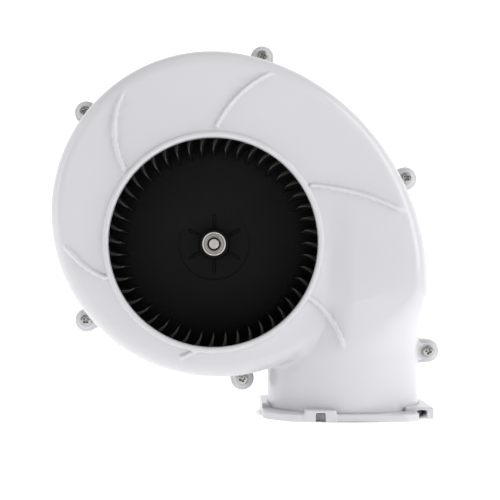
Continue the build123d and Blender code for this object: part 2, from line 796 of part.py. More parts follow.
with BuildPart() as cable_gland:
    gland_ring(0, gland_thread_radius, locknut_level, gland_seat)
    gland_hexagon(gland_hexagon_radius, gland_seat, hexagon_level)
    gland_ring(0, collet_radius, hexagon_level, thread_level)
    gland_ring(0, gland_bore_radius, locknut_level, thread_level, Mode.SUBTRACT)
    gland_ring(0, seal_radius, hexagon_level, thread_level, Mode.SUBTRACT)
cable_gland.part.label = "cable_gland"

with BuildPart() as gland_locknut:
    gland_hexagon(locknut_hexagon_radius, locknut_level, gland_inner_seat)
    gland_ring(0, gland_thread_radius, locknut_level, gland_inner_seat, Mode.SUBTRACT)
gland_locknut.part.label = "gland_locknut"

with BuildPart() as gland_seal:
    gland_ring(gland_bore_radius, seal_radius, hexagon_level, seal_level)
gland_seal.part.label = "gland_seal"

with BuildPart() as gland_nut:
    gland_ring(seal_radius, nut_radius, hexagon_level, nut_level)
    gland_ring(0, collet_radius, hexagon_level, thread_level, Mode.SUBTRACT)
    gland_ring(nut_bore_radius, nut_radius - 1, seal_level, nut_level)
gland_nut.part.label = "gland_nut"


# ---------------------------------------------------------------- files

pieces = [
    front_housing, rear_housing, housing_screws, outlet_flange,
    wheel_back_plate, wheel_blades, wheel_front_ring, hub_bush, hub_set_screw, motor_shaft,
    motor_front_plate, motor_can, field_magnets, motor_rear_plate, terminal_tabs, tie_screws,
    motor_screws, brush_holders, armature_core, armature_windings, commutator,
    motor_cover, cover_gasket, cover_screws, cable_gland, gland_locknut, gland_seal, gland_nut,
]
for piece in pieces + sliding_pieces + bearing_pieces:
    export_step(piece.part, "parts/" + piece.part.label + ".step")
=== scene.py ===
import json
import math

import bpy
import numpy as np
from mathutils import Matrix, Vector


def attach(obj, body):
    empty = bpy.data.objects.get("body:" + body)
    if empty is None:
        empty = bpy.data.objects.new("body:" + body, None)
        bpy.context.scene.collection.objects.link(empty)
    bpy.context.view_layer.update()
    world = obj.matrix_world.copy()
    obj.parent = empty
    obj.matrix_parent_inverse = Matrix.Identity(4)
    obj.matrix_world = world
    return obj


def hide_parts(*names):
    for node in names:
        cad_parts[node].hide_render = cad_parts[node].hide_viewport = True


# Centrifugal blower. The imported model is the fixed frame. The two housing halves, the flange,
# the housing screws and the wheel's back plate and blades are remade here as smooth moulded
# shapes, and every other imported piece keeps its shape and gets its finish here. Shapes are
# worked out in millimetres, in the frame's axes, and turned into metres when a mesh is made.

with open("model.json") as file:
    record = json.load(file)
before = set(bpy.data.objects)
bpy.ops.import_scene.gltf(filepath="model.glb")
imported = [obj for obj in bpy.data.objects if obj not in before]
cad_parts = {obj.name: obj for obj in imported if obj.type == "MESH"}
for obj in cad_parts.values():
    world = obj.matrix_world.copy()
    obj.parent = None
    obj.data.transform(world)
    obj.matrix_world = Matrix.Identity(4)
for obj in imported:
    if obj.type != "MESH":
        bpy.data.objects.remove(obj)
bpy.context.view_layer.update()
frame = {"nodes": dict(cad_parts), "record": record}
nodes = frame["nodes"]

# ---------------------------------------------------------------- dimensions, millimetres

wheel_x = -87.6
wheel_z = 114.6
wall = 2.6
seam_gap = 0.12
cut_round = 0.4

# Scroll: half its width along Y, and its outline as tangent arcs (radius, turn in degrees).
scroll_half_width = 46.0
scroll_edge_round = 9.5
scroll_arcs = [(155.0, 50.0), (144.0, 28.0), (104.0, 69.0), (106.0, 70.0), (108.0, 102.0)]
scroll_start = (51.0, 87.6)
scroll_close_z = 80.0

# Duct: round below, and blended into the scroll's section above.
duct_radius = 51.0
duct_foot_z = 4.5
duct_top_z = 86.0
duct_blend_z = (40.0, 88.0)
joint_fillet = 5.5
joint_fillet_x = (-8.0, -26.0)

# The faces stand out where the passage turns down into the duct: by how much, from which
# height down to which, across which stretch of X they rise, and where and how tightly the
# raised part is domed.
bulge_height = 6.4
bulge_z = (168.0, 78.0)
bulge_x = (-15.0, 3.0)
bulge_top_x = 18.0
bulge_dome_radius = 150.0

# Inlet lip, swirl ribs (from, through, to, from the wheel's axis) and the back wall's ribs.
inlet_radius = 67.4
lip_radius = 71.0
lip_front_y = -50.0
throat_rear_y = -41.5
lip_rise = 1.4
lip_rise_reach = 9.0
lip_fillet = 0.9
rib_half_width = 1.4
rib_height = 2.0
rib_start_share = 0.965
rib_fade = (0.02, 0.82)
swirl_ribs = [
    [(-57.6, 48.0), (-63.5, 71.8), (-56.8, 99.0)],
    [(2.6, 75.6), (16.8, 95.0), (39.8, 110.0)],
    [(63.7, 36.6), (91.5, 32.0), (125.6, 18.0)],
    [(60.6, -35.0), (75.5, -49.0), (84.0, -69.5)],
    [(-8.6, -68.4), (-15.5, -72.0), (-22.5, -75.0)],
    [(-69.6, -22.8), (-82.5, -15.5), (-96.3, -0.5)],
]
back_rib_reach = (57.0, 79.0)
back_rib_angles = range(60, 271, 30)
back_rib_half_width = 1.1
back_rib_height = 1.3
cover_boss_places = [(49.6, angle) for angle in (45, 135, 225, 315)]
cover_boss_radius = 3.8
cover_boss_front_y = 37.0
motor_hole_radius = 14.2

# Ears and screws: centres (x, z), and the radius and depth of an ear in each half.
screw_places = [
    (-174.4, 203.6), (-54.7, 241.0), (42.5, 158.7), (57.5, 41.7), (-68.3, 23.0), (-174.0, 62.5),
]
screw_turns = [20, 65, 40, 10, 75, 50]
front_ear = (5.7, 4.0)
rear_ear = (8.0, 12.0)
ear_reach = 14.0
ear_fillet = 3.2
ear_round = 0.7
screw_radius = 1.9
screw_length = 14.0
screw_head_radius = 4.0
screw_head_height = 2.6
screw_crown = 0.11
thread_depth = 0.16
thread_pitch = 1.0

# Cross recess: half the width and half the length of an arm at the head's top, how much
# each narrows for a millimetre of depth, and the recess's depth.
cross_half_width = 0.75
cross_half_length = 2.35
cross_width_taper = 0.18
cross_length_taper = 0.6
cross_depth = 1.7

# Flange.
flange_half_width = 55.5
flange_corner_radius = 66.0
flange_thickness = 5.0
flange_skin = 2.0
skirt_wall = 2.2
block_height = 7.6
front_block = ((-29.4, -9.0), (-56.5, -44.5))
side_block = ((37.0, 55.5), (-40.0, 14.0))
notch_half_width = 3.1
notch_top = 5.9
notch_round = 1.0
notch_start_y = 20.0
notch_x = (-19.2, 47.6)
collar_bore_radius = 45.6
collar_radius = 48.3
collar_height = 17.0
seat_half_width = 2.6
seat_drop = 0.1

# Wheel: its back plate, with the recess, boss and ribs about the bush, and its blades.
plate_radius = 75.0
plate_y = (30.5, 33.0)
recess_radius = 24.8
recess_floor_y = 31.1
bush_radius = 8.9
boss_radius = 10.2
boss_front_y = 18.5
boss_foot = 1.6
hub_rib_count = 6
hub_rib_first_angle = 30.0
hub_rib_half_width = 0.75
hub_rib_y = 29.6
hub_rib_end = 20.4
blade_count = 48
blade_inner_radius = 60.0
blade_arc_radius = 17.0
blade_arc_turn = 55.0
blade_half_thickness = (0.35, 1.15)
blade_y = (-38.6, 31.0)


# ---------------------------------------------------------------- distance fields

def smooth_min(a, b, reach):
    """Union of two distance fields, with a fillet about as wide as reach where they meet."""
    share = np.clip(0.5 + 0.5 * (b - a) / reach, 0.0, 1.0)
    return b + (a - b) * share - reach * share * (1.0 - share)


def smooth_max(a, b, reach):
    """Intersection of two distance fields, with its edge rounded."""
    return -smooth_min(-a, -b, reach)


def smooth_step(value, start, end):
    """0 at start, 1 at end, and level at both."""
    t = np.clip((value - start) / (end - start), 0.0, 1.0)
    return t * t * (3.0 - 2.0 * t)


def beyond(value, low, high):
    """Signed distance past the ends of a span, negative between them."""
    return np.abs(value - (low + high) / 2) - (high - low) / 2


def rounded_box(distances, radius):
    """Field of a box from the signed distances past its sides, with edges of that radius."""
    outside = sum(np.maximum(d + radius, 0.0) ** 2 for d in distances) ** 0.5
    inside = distances[0] + radius
    for d in distances[1:]:
        inside = np.maximum(inside, d + radius)
    return outside + np.minimum(inside, 0.0) - radius


def path_distance(x, z, points):
    """Distance to a path in the XZ plane, and how far along it the nearest point is, 0 to 1."""
    nearest = np.full(np.broadcast(x, z).shape, 1e6, np.float32)
    along = np.zeros_like(nearest)
    for i, ((x0, z0), (x1, z1)) in enumerate(zip(points[:-1], points[1:])):
        dx, dz = x1 - x0, z1 - z0
        t = np.clip(((x - x0) * dx + (z - z0) * dz) / (dx * dx + dz * dz), 0.0, 1.0)
        distance = np.hypot(x - x0 - t * dx, z - z0 - t * dz)
        closer = distance < nearest
        nearest = np.where(closer, distance, nearest)
        along = np.where(closer, (i + t) / (len(points) - 1), along)
    return nearest, along


def outline_distance(x, z, points):
    """Signed distance to a closed outline in the XZ plane, negative inside."""
    closed = points + points[:1]
    distance, _ = path_distance(x, z, closed)
    inside = np.zeros(distance.shape, bool)
    for (x0, z0), (x1, z1) in zip(closed[:-1], closed[1:]):
        if z0 != z1:
            crossing = x0 + (z - z0) * (x1 - x0) / (z1 - z0)
            inside ^= ((z0 > z) != (z1 > z)) & (x < crossing)
    return np.where(inside, -distance, distance)


def arc_through(first, middle, last, count):
    """Points on the arc from first to last through middle."""
    (ax, az), (bx, bz), (cx, cz) = first, middle, last
    d = 2 * (ax * (bz - cz) + bx * (cz - az) + cx * (az - bz))
    a2, b2, c2 = ax * ax + az * az, bx * bx + bz * bz, cx * cx + cz * cz
    ox = (a2 * (bz - cz) + b2 * (cz - az) + c2 * (az - bz)) / d
    oz = (a2 * (cx - bx) + b2 * (ax - cx) + c2 * (bx - ax)) / d
    radius = math.hypot(ax - ox, az - oz)
    start = math.atan2(az - oz, ax - ox)
    turn = math.remainder(math.atan2(cz - oz, cx - ox) - start, 2 * math.pi)
    angles = [start + turn * i / (count - 1) for i in range(count)]
    return [(ox + radius * math.cos(a), oz + radius * math.sin(a)) for a in angles]


def scroll_outline(points_per_arc=36):
    """The scroll's outline: tangent arcs from the duct's right side, closed across the duct."""
    (x, z), heading = scroll_start, math.pi / 2
    points = [(scroll_start[0], scroll_close_z), (x, z)]
    for radius, turn in scroll_arcs:
        centre_x = x - radius * math.sin(heading)
        centre_z = z + radius * math.cos(heading)
        for i in range(1, points_per_arc + 1):
            angle = heading + math.radians(turn) * i / points_per_arc
            points.append((centre_x + radius * math.sin(angle), centre_z - radius * math.cos(angle)))
        heading += math.radians(turn)
        x, z = points[-1]
    return points


def make_grid(low, high, step):
    """Axes of a sampling grid, shaped so that they broadcast against each other."""
    axes = [np.arange(a, b + step, step, dtype=np.float32) for a, b in zip(low, high)]
    return axes[0][:, None, None], axes[1][None, :, None], axes[2][None, None, :]


# ---------------------------------------------------------------- meshes

def surface_nets(field):
    """Vertices, in grid steps, and outward quads of the surface where the field is zero."""
    solid = field < 0
    shape = tuple(n - 1 for n in field.shape)
    corners = [(i, j, k) for i in (0, 1) for j in (0, 1) for k in (0, 1)]
    filled = np.zeros(shape, np.int8)
    for i, j, k in corners:
        filled += solid[i:i + shape[0], j:j + shape[1], k:k + shape[2]]
    cells = np.argwhere((filled > 0) & (filled < 8))
    number = np.full(shape, -1, np.int32)
    number[tuple(cells.T)] = np.arange(len(cells))

    total = np.zeros((len(cells), 3))
    count = np.zeros(len(cells))
    for corner in corners:
        for axis in range(3):
            if corner[axis]:
                continue
            far = np.array(corner)
            far[axis] = 1
            here = field[tuple((cells + corner).T)]
            there = field[tuple((cells + far).T)]
            crossed = (here < 0) != (there < 0)
            points = (cells + corner)[crossed].astype(float)
            points[:, axis] += here[crossed] / (here[crossed] - there[crossed])
            total[crossed] += points
            count[crossed] += 1

    quads = []
    for axis in range(3):
        u, v = (axis + 1) % 3, (axis + 2) % 3
        low = np.take(solid, range(shape[axis]), axis)
        high = np.take(solid, range(1, shape[axis] + 1), axis)
        edges = np.argwhere(low != high)
        for side in (u, v):
            edges = edges[(edges[:, side] > 0) & (edges[:, side] < shape[side])]
        step_u, step_v = np.eye(3, dtype=int)[u], np.eye(3, dtype=int)[v]
        around = [edges - step_u - step_v, edges - step_v, edges, edges - step_u]
        quad = np.stack([number[tuple(c.T)] for c in around], 1)
        outward = low[tuple(edges.T)]
        quads.append(np.where(outward[:, None], quad, quad[:, ::-1]))
    return total / count[:, None], np.concatenate(quads)


def field_at(field, points):
    """The field between grid points, at points in grid steps."""
    limit = np.array(field.shape) - 2
    base = np.clip(np.floor(points).astype(int), 0, limit)
    part = points - base
    value = np.zeros(len(points))
    for i in (0, 1):
        for j in (0, 1):
            for k in (0, 1):
                weight = np.abs(np.array([1 - i, 1 - j, 1 - k]) - part).prod(1)
                value += weight * field[base[:, 0] + i, base[:, 1] + j, base[:, 2] + k]
    return value


def field_slope(field, points, reach=0.6):
    """Unit direction in which the field grows fastest."""
    slope = np.stack([
        field_at(field, points + reach * axis) - field_at(field, points - reach * axis)
        for axis in np.eye(3)
    ], 1)
    return slope / np.maximum(np.linalg.norm(slope, axis=1), 1e-9)[:, None]


def new_object(name, vertices, faces, material):
    """Smooth-shaded object from vertices in millimetres."""
    mesh = bpy.data.meshes.new(name)
    mesh.from_pydata((np.asarray(vertices) * 0.001).tolist(), [], np.asarray(faces).tolist())
    mesh.shade_smooth()
    mesh.materials.append(material)
    piece = bpy.data.objects.new(name, mesh)
    bpy.context.scene.collection.objects.link(piece)
    return piece


def field_object(name, field, low, step, material, most_faces):
    """Object whose surface is where the field is zero, thinned to at most so many triangles."""
    points, quads = surface_nets(field)
    piece = new_object(name, np.asarray(low) + step * points, quads, material)
    if 2 * len(quads) > most_faces:
        thin = piece.modifiers.new("thin", "DECIMATE")
        thin.ratio = most_faces / (2 * len(quads))
        bpy.context.view_layer.update()
        evaluated = piece.evaluated_get(bpy.context.evaluated_depsgraph_get())
        thinned = bpy.data.meshes.new_from_object(evaluated)
        piece.modifiers.clear()
        piece.data = thinned
        piece.data.name = name
    mesh = piece.data
    places = np.empty(3 * len(mesh.vertices), np.float32)
    mesh.vertices.foreach_get("co", places)
    in_steps = (places.reshape(-1, 3) * 1000.0 - np.asarray(low)) / step
    mesh.normals_split_custom_set_from_vertices(field_slope(field, in_steps).tolist())
    return piece


# ---------------------------------------------------------------- materials

def remap(tree, value, start, end, bottom, top):
    """Socket that goes from bottom to top while the value goes from start to end."""
    node = tree.nodes.new("ShaderNodeMapRange")
    node.inputs["From Min"].default_value = start
    node.inputs["From Max"].default_value = end
    node.inputs["To Min"].default_value = bottom
    node.inputs["To Max"].default_value = top
    tree.links.new(value, node.inputs["Value"])
    return node.outputs["Result"]


def mix_in(tree, surface, share, colour):
    """Socket of the surface's colour, mixed towards another colour by a share."""
    mix = tree.nodes.new("ShaderNodeMix")
    mix.data_type = "RGBA"
    mix.inputs["B"].default_value = (*colour, 1)
    tree.links.new(share, mix.inputs["Factor"])
    tree.links.new(surface, mix.inputs["A"])
    return mix.outputs["Result"]


def mottled_material(name, colour, spread, roughness, metallic=0.0, coat=0.0, specular=0.5,
                     grain=900.0, grain_depth=0.00002, patch=18.0, edge_highlight=0.0,
                     edge_highlight_colour=(0.9, 0.9, 0.9), crease_shade=0.0):
    """Finish with uneven colour, scuffs and a fine grain, and, where asked, with painted highlights on
    convex edges and painted shade in creases. Those two need a mesh of even, small faces."""
    material = bpy.data.materials.new(name)
    material.use_nodes = True
    tree = material.node_tree
    shader = tree.nodes["Principled BSDF"]
    shader.inputs["Metallic"].default_value = metallic
    shader.inputs["Specular IOR Level"].default_value = specular
    shader.inputs["Coat Weight"].default_value = coat
    shader.inputs["Coat Roughness"].default_value = 0.12

    place = tree.nodes.new("ShaderNodeTexCoord")

    def noise(scale, detail):
        node = tree.nodes.new("ShaderNodeTexNoise")
        node.inputs["Scale"].default_value = scale
        node.inputs["Detail"].default_value = detail
        tree.links.new(place.outputs["Object"], node.inputs["Vector"])
        return node.outputs["Fac"]

    def shade(share):
        return [min(1.0, share * c) for c in colour]

    ramp = tree.nodes.new("ShaderNodeValToRGB")
    for element, position, share in zip(ramp.color_ramp.elements, (0.3, 0.7), (1 - spread, 1 + spread)):
        element.position = position
        element.color = (*shade(share), 1)
    tree.links.new(noise(patch, 3.0), ramp.inputs["Fac"])
    smears = noise(patch * 3.0, 5.0)
    scuffs = remap(tree, smears, 0.60, 0.75, 0.0, 0.5)
    surface = mix_in(tree, ramp.outputs["Color"], scuffs, shade(1 + 2 * spread))

    pointiness = tree.nodes.new("ShaderNodeNewGeometry").outputs["Pointiness"]
    # Painted highlight: convex edges are mixed towards a pale colour.
    if edge_highlight > 0:
        surface = mix_in(tree, surface, remap(tree, pointiness, 0.53, 0.62, 0.0, edge_highlight), edge_highlight_colour)
    # Painted shade: creases are darkened towards a fifth of the colour.
    if crease_shade > 0:
        surface = mix_in(tree, surface, remap(tree, pointiness, 0.49, 0.42, 0.0, crease_shade), shade(0.2))
    tree.links.new(surface, shader.inputs["Base Color"])

    shine = remap(tree, smears, 0.0, 1.0, roughness * 0.85, min(1.0, roughness * 1.2))
    tree.links.new(shine, shader.inputs["Roughness"])

    bump = tree.nodes.new("ShaderNodeBump")
    bump.inputs["Strength"].default_value = 0.6
    bump.inputs["Distance"].default_value = grain_depth
    tree.links.new(noise(grain, 2.0), bump.inputs["Height"])
    tree.links.new(bump.outputs["Normal"], shader.inputs["Normal"])
    return material


# Painted highlight and painted shade on the turned metal: its colour scaled against its distance from
# the axis, as a share of the bush's radius. The brightest bands, at the rim, are a painted highlight on
# the chamfer.
hub_light_and_shade_bands = [
    (0.36, 1.2), (0.47, 0.25), (0.53, 0.7), (0.60, 0.5), (0.67, 0.85), (0.74, 0.5),
    (0.82, 0.6), (0.86, 1.6), (0.99, 1.6),
]


def vector_step(tree, operation, first, second=None):
    """One step of vector arithmetic on a socket, with a fixed second vector."""
    node = tree.nodes.new("ShaderNodeVectorMath")
    node.operation = operation
    tree.links.new(first, node.inputs[0])
    if second:
        node.inputs[1].default_value = second
    return node


def turned_material(name, colour, roughness):
    """Metal turned on a lathe about the wheel's axis, with rings of painted highlight and painted
    shade, and a painted highlight at the rim.
    """
    material = mottled_material(name, colour, 0.06, roughness, metallic=1.0, grain=1600.0)
    tree = material.node_tree
    shader = tree.nodes["Principled BSDF"]
    place = tree.nodes.new("ShaderNodeNewGeometry").outputs["Position"]
    axis = (wheel_x * 0.001, 0.0, wheel_z * 0.001)
    from_axis = vector_step(tree, "SUBTRACT", place, axis).outputs["Vector"]
    flattened = vector_step(tree, "MULTIPLY", from_axis, (1.0, 0.0, 1.0)).outputs["Vector"]
    radius = vector_step(tree, "LENGTH", flattened).outputs["Value"]
    # Painted highlight and painted shade in rings, brightest at the rim.
    painted_light_ramp = tree.nodes.new("ShaderNodeValToRGB")
    for position, shade in hub_light_and_shade_bands:
        band = painted_light_ramp.color_ramp.elements.new(position)
        band.color = (*[shade * c for c in colour], 1)
    for end in (painted_light_ramp.color_ramp.elements[0], painted_light_ramp.color_ramp.elements[-1]):
        end.color = (*colour, 1)
    share = remap(tree, radius, 0.0, bush_radius * 0.001, 0.0, 1.0)
    tree.links.new(share, painted_light_ramp.inputs["Fac"])
    tree.links.new(painted_light_ramp.outputs["Color"], shader.inputs["Base Color"])
    shader.inputs["Anisotropic"].default_value = 0.75
    direction = tree.nodes.new("ShaderNodeTangent")
    direction.direction_type = "RADIAL"
    direction.axis = "Y"
    tree.links.new(direction.outputs["Tangent"], shader.inputs["Tangent"])
    return material


housing_look = dict(colour=(0.625, 0.62, 0.645), spread=0.012, roughness=0.30, coat=0.25,
                    grain=1400.0, grain_depth=0.000012, patch=9.0)
wheel_look = dict(colour=(0.014, 0.014, 0.0145), spread=0.12, roughness=0.5, specular=0.12,
                  grain=1800.0)
finishes = {
    "housing_plastic": mottled_material("housing_plastic", **housing_look),
    "wheel_plastic": mottled_material("wheel_plastic", **wheel_look),
    "bright_steel": turned_material("bright_steel", (0.60, 0.58, 0.54), 0.36),
    # Screw heads: painted highlights on their edges and painted shade in the cross recess.
    "screw_steel": mottled_material("screw_steel", (0.42, 0.41, 0.40), 0.15, 0.2, metallic=1.0,
                                    grain=2600.0, patch=160.0, edge_highlight=0.9,
                                    edge_highlight_colour=(0.92, 0.90, 0.88), crease_shade=1.0),
    "can_steel": mottled_material("can_steel", (0.48, 0.48, 0.50), 0.08, 0.34, metallic=1.0),
    "cast_plate": mottled_material("cast_plate", (0.56, 0.56, 0.58), 0.08, 0.45, metallic=1.0,
                                   grain=1200.0, grain_depth=0.00006),
    "ferrite": mottled_material("ferrite", (0.045, 0.043, 0.042), 0.2, 0.7, grain=1500.0),
    "motor_plastic": mottled_material("motor_plastic", (0.02, 0.02, 0.022), 0.2, 0.5),
    "terminal_brass": mottled_material("terminal_brass", (0.72, 0.52, 0.22), 0.1, 0.3,
                                       metallic=1.0),
    "core_steel": mottled_material("core_steel", (0.22, 0.22, 0.23), 0.15, 0.5, metallic=1.0),
    "winding_copper": mottled_material("winding_copper", (0.62, 0.25, 0.10), 0.2, 0.35,
                                       metallic=1.0, grain=2200.0, grain_depth=0.0001),
    "gasket_rubber": mottled_material("gasket_rubber", (0.018, 0.018, 0.018), 0.3, 0.85,
                                      grain=2400.0, grain_depth=0.00008),
    "gland_plastic": mottled_material("gland_plastic", (0.02, 0.02, 0.022), 0.2, 0.45),
    "brush_carbon": mottled_material("brush_carbon", (0.03, 0.03, 0.03), 0.2, 0.6),
}

# The same plastics on the pieces made here, whose fine meshes can carry painted highlights on edges and
# painted shade in creases.
moulded_finish = mottled_material("moulded_plastic", **housing_look, edge_highlight=0.35,
                                  edge_highlight_colour=(0.80, 0.80, 0.82), crease_shade=0.35)
# The wheel's plate gets painted highlights on its edges and no painted shade.
moulded_wheel_finish = mottled_material("moulded_wheel", **wheel_look, edge_highlight=0.5,
                                        edge_highlight_colour=(0.05, 0.05, 0.05))
# Blades: a lighter copy of the wheel's plastic, painted lighter for the light they catch, while the
# plate keeps the darker one.
blade_lighter_finish = mottled_material("blade_plastic_painted_lighter", (0.030, 0.029, 0.026), 0.15, 0.45, specular=0.25,
                                grain=1800.0, patch=60.0)
for subpart in frame["record"]["subparts"]:
    mesh = nodes[subpart["node"]].data
    mesh.materials.clear()
    mesh.materials.append(finishes[subpart["material_slot"]])


# ---------------------------------------------------------------- housing halves

def passage_field(x, y, z, flat):
    """Scroll and duct as one smooth volume. flat is the distance to the scroll's outline."""
    from_axis = np.hypot(x - wheel_x, z - wheel_z)
    dome = bulge_height - (x - bulge_top_x) ** 2 / (2 * bulge_dome_radius)
    bulge = dome * smooth_step(z, *bulge_z) * smooth_step(x, *bulge_x)
    cone = lip_rise * np.exp(-np.maximum(from_axis - lip_radius, 0.0) / lip_rise_reach)
    half_width = scroll_half_width + bulge + cone * (y < 0)
    scroll = rounded_box([flat, np.abs(y) - half_width], scroll_edge_round)

    share = smooth_step(z, *duct_blend_z)
    corner = duct_radius + (scroll_edge_round - duct_radius) * share
    half_depth = duct_radius + (half_width - duct_radius) * share
    right = rounded_box([x - duct_radius, np.abs(y) - half_depth], corner)
    left = np.hypot(x, y * duct_radius / half_depth) - duct_radius
    duct = np.maximum(np.where(x > 0, right, left), z - duct_top_z)
    fillet = 0.02 + joint_fillet * smooth_step(x, *joint_fillet_x)
    return smooth_min(scroll, duct, fillet)


def ear_field(x, y, z, place, radius, near_y, far_y):
    """Ear: a round end about the screw, with a web towards the duct's or the wheel's axis."""
    px, pz = place
    on_duct = pz < duct_radius and px > -duct_radius
    dx, dz = (-px, 0.0) if on_duct else (wheel_x - px, wheel_z - pz)
    length = math.hypot(dx, dz)
    dx, dz = dx / length, dz / length
    along = (x - px) * dx + (z - pz) * dz
    across = (z - pz) * dx - (x - px) * dz
    flat = np.hypot(along - np.clip(along, 0.0, ear_reach), across) - radius
    return rounded_box([flat, beyond(y, near_y, far_y)], ear_round)


def with_swirl_ribs(body, x, z):
    """The front face with its curved ribs, which start at the lip and fade at the rim."""
    for first, middle, last in swirl_ribs:
        path = [(wheel_x + px, wheel_z + pz) for px, pz in arc_through(first, middle, last, 24)]
        path.insert(0, (wheel_x + rib_start_share * first[0], wheel_z + rib_start_share * first[1]))
        distance, along = path_distance(x, z, path)
        ends = smooth_step(along, 0.0, rib_fade[0]) * smooth_step(along, 1.0, rib_fade[1])
        across = distance / rib_half_width
        height = np.sqrt(np.maximum(1.0 - across ** 2, 0.0)) * rib_height * ends
        body = np.where(across < 1.0, smooth_min(body, body - height, 0.2), body)
    return body


def with_back_ribs(body, x, y, z):
    """The back wall with its straight ribs, which point at the wheel's axis."""
    for angle in back_rib_angles:
        dx, dz = math.cos(math.radians(angle)), math.sin(math.radians(angle))
        along = (x - wheel_x) * dx + (z - wheel_z) * dz
        across = (z - wheel_z) * dx - (x - wheel_x) * dz
        rib = rounded_box([beyond(along, *back_rib_reach), np.abs(across) - back_rib_half_width,
                           np.abs(y - scroll_half_width) - back_rib_height], 0.5)
        body = smooth_min(body, rib, 0.8)
    return body


def with_inlet(shell, y, from_axis):
    """The front shell, cut open at the inlet and edged with the rolled lip and its throat."""
    lip_half = (lip_radius - inlet_radius) / 2
    lip = rounded_box([beyond(from_axis, inlet_radius, lip_radius),
                       beyond(y, lip_front_y, throat_rear_y)], lip_half - 0.1)
    shell = smooth_max(shell, inlet_radius + lip_half - from_axis, cut_round)
    return smooth_min(shell, lip, lip_fillet)


def with_cover_bosses(shell, x, y, z, from_axis):
    """The rear shell with the bosses for the cover's screws, and the motor's hole."""
    for distance, angle in cover_boss_places:
        bx = wheel_x + distance * math.cos(math.radians(angle))
        bz = wheel_z + distance * math.sin(math.radians(angle))
        boss = rounded_box([np.hypot(x - bx, z - bz) - cover_boss_radius,
                            beyond(y, cover_boss_front_y, scroll_half_width)], 0.5)
        shell = smooth_min(shell, boss, 0.8)
    return smooth_max(shell, motor_hole_radius - from_axis, cut_round)


def housing_half(name, node, front, step, most_faces):
    """One moulded half: its share of the shell, with its ears and ribs, hollow inside."""
    side = -1 if front else 1
    low = (-193.0, -55.5 if front else -1.0, duct_foot_z - 1.5)
    high = (67.0, 1.0 if front else 55.5, 250.5)
    x, y, z = make_grid(low, high, step)
    from_axis = np.hypot(x - wheel_x, z - wheel_z)
    passage = passage_field(x, y, z, outline_distance(x, z, outline))
    body = passage.copy()
    radius, depth = front_ear if front else rear_ear
    for place in screw_places:
        ear = ear_field(x, y, z, place, radius, *sorted((0.0, side * depth)))
        body = smooth_min(body, ear, ear_fillet)
    body = with_swirl_ribs(body, x, z) if front else with_back_ribs(body, x, y, z)
    shell = smooth_max(body, -(passage + wall), cut_round)
    if front:
        shell = with_inlet(shell, y, from_axis)
    else:
        shell = with_cover_bosses(shell, x, y, z, from_axis)
    shell = smooth_max(shell, duct_foot_z - z, 0.3)
    shell = smooth_max(shell, seam_gap - side * y, 0.3)
    piece = field_object(name, shell, low, step, moulded_finish, most_faces)
    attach(piece, "housing")
    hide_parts(node)


outline = scroll_outline()
half_step = 0.8
housing_half("front_shell", "front_housing", True, half_step, 190000)
housing_half("rear_shell", "rear_housing", False, half_step, 150000)


# ---------------------------------------------------------------- flange

def block_plan(x, y, span_x, span_y):
    """Distance to an upright block's outline, and to its copy half a turn round."""
    fields = [rounded_box([beyond(side * x, *span_x), beyond(side * y, *span_y)], 0.8)
              for side in (1, -1)]
    return np.minimum(*fields)


def flange_piece():
    """Flange with its raised latch blocks, hollow underneath, and the collar inside the duct."""
    step = 0.6
    low, high = (-58.5, -58.5, -1.2), (58.5, 58.5, collar_height + 1.5)
    x, y, z = make_grid(low, high, step)
    from_duct = np.hypot(x, y)
    square = np.maximum(np.abs(x), np.abs(y)) - flange_half_width
    plan = smooth_max(square, from_duct - flange_corner_radius, 1.5)
    blocks = np.minimum(block_plan(x, y, *front_block), block_plan(x, y, *side_block))
    body = rounded_box([plan, beyond(z, 0.0, flange_thickness)], 0.7)
    raised = rounded_box([blocks, beyond(z, 0.0, block_height)], 0.7)
    body = smooth_min(body, raised, 0.8)

    sleeve = duct_radius + skirt_wall - from_duct
    hollows = []
    for outside, top in ((plan, flange_thickness), (blocks, block_height)):
        inside = np.maximum(outside + skirt_wall, sleeve)
        hollows.append(np.maximum(inside, z - (top - flange_skin)))
    body = smooth_max(body, -np.minimum(*hollows), cut_round)
    for side in (1, -1):
        for middle in notch_x:
            opening = rounded_box([np.abs(x - side * middle) - notch_half_width, z - notch_top],
                                  notch_round)
            notch = np.maximum(opening, notch_start_y + side * y)
            body = smooth_max(body, -notch, 0.5)

    body = smooth_max(body, duct_radius - from_duct, 0.3)
    collar = rounded_box([beyond(from_duct, collar_bore_radius, collar_radius),
                          beyond(z, 0.0, collar_height)], 0.6)
    seat = rounded_box([np.abs(from_duct - (collar_radius + duct_radius) / 2) - seat_half_width,
                        np.abs(z - flange_thickness / 2 + seat_drop)
                        - flange_thickness / 2 + seat_drop], 0.4)
    body = smooth_min(smooth_min(body, collar, 0.3), seat, 0.3)
    body = smooth_max(body, -z, 0.2)
    piece = field_object("flange", body, low, step, moulded_finish, 180000)
    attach(piece, "housing")
    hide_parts("outlet_flange")


flange_piece()


# ---------------------------------------------------------------- housing screws

